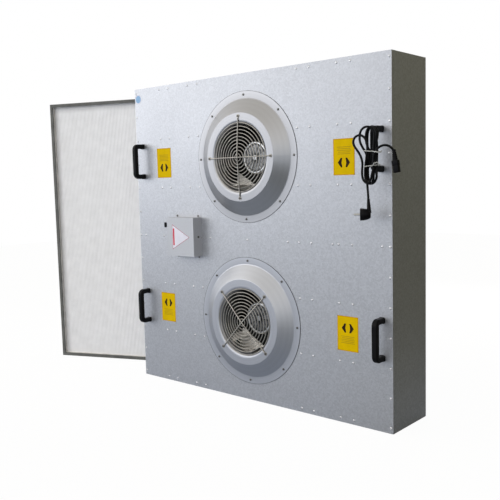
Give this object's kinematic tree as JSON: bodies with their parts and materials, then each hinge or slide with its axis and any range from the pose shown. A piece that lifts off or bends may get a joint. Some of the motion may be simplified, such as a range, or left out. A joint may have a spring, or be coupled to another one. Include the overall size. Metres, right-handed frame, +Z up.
{
  "type": "fan filter unit",
  "caption": "Square sheet-metal fan filter unit standing on edge, with motorised impellers in guarded bell-mouth inlets, control box, grips, tied mains lead and its pleated filter behind.",
  "frame": {"origin": "middle of the underside of the casing as it stands on its edge, at mid-depth", "axes": "+X to the right seen from the inlet side, +Y from the inlet side to the outlet side, +Z up"},
  "size_m": [1.831, 0.5756, 1.175],
  "materials": {
    "galvanised_sheet": "hot-dip galvanised with a fine spangle",
    "box_sheet": "smooth galvanised",
    "spun_sheet": "spun galvanised sheet with circular marks",
    "zinc_fasteners": "zinc plated",
    "guard_wire": "dull plated wire",
    "cast_aluminium": "machined and cast aluminium",
    "bearing_steel": "ground steel",
    "copper_winding": "enamelled copper wire on laminations",
    "magnet": "sintered magnet",
    "impeller_sheet": "rolled aluminium sheet",
    "cable_jacket": "satin black jacket",
    "board": "lacquered circuit board",
    "terminal_plastic": "pale moulded plastic",
    "black_plastic": "moulded black nylon",
    "tie_wire": "pale coated wire",
    "foam_lining": "grey acoustic foam",
    "filter_metal": "anodised extrusion",
    "filter_potting": "cast sealing compound",
    "filter_paper": "pleated glass-fibre paper",
    "filter_gasket": "closed-cell foam"
  },
  "bodies": {
    "unit": {"front_panel": "galvanised_sheet", "left_wall": "galvanised_sheet", "right_wall": "galvanised_sheet", "top_wall": "galvanised_sheet", "bottom_wall": "galvanised_sheet", "outlet_frame": "galvanised_sheet", "wall_lining": "foam_lining", "panel_rails": "galvanised_sheet", "mid_divider": "galvanised_sheet", "panel_rivets": "zinc_fasteners", "inlet_cone_upper": "spun_sheet", "inlet_cone_lower": "spun_sheet", "cone_screws": "zinc_fasteners", "guard_upper": "guard_wire", "guard_lower": "guard_wire", "guard_screws": "zinc_fasteners", "motor_bracket_upper": "galvanised_sheet", "motor_bracket_lower": "galvanised_sheet", "bracket_spacers": "zinc_fasteners", "bracket_screws": "zinc_fasteners", "motor_housing_upper": "cast_aluminium", "motor_housing_lower": "cast_aluminium", "motor_screws": "zinc_fasteners", "stator_upper": "copper_winding", "stator_lower": "copper_winding", "motor_bearings": "bearing_steel", "motor_cable_upper": "cable_jacket", "motor_cable_lower": "cable_jacket", "box_base": "galvanised_sheet", "box_cover": "box_sheet", "box_screws": "zinc_fasteners", "circuit_board": "board", "terminal_block": "terminal_plastic", "mains_inlet": "black_plastic", "cable_grommet": "black_plastic", "blanking_plug": "black_plastic", "handle_upper_left": "black_plastic", "handle_upper_right": "black_plastic", "handle_lower_left": "black_plastic", "handle_lower_right": "black_plastic", "handle_screws": "zinc_fasteners", "lead_hank": "cable_jacket", "lead_loop": "cable_jacket", "lead_connector_tail": "cable_jacket", "lead_plug_tail": "cable_jacket", "lead_connector": "black_plastic", "lead_plug": "black_plastic", "lead_ties": "tie_wire", "filter_frame": "filter_metal", "filter_potting": "filter_potting", "filter_media": "filter_paper", "filter_gasket": "filter_gasket"},
    "fan_upper": {"impeller_upper": "impeller_sheet", "rotor_upper": "cast_aluminium", "magnets_upper": "magnet", "impeller_screws_upper": "zinc_fasteners"},
    "fan_lower": {"impeller_lower": "impeller_sheet", "rotor_lower": "cast_aluminium", "magnets_lower": "magnet", "impeller_screws_lower": "zinc_fasteners"}
  },
  "joints": [
    {"name": "fan_upper_spin", "type": "hinge", "parent": "unit", "child": "fan_upper", "pos_m": [0, 0, 0.88125], "axis": [0, 1, 0], "continuous": true},
    {"name": "fan_lower_spin", "type": "hinge", "parent": "unit", "child": "fan_lower", "pos_m": [0, 0, 0.29375], "axis": [0, 1, 0], "continuous": true}
  ]
}
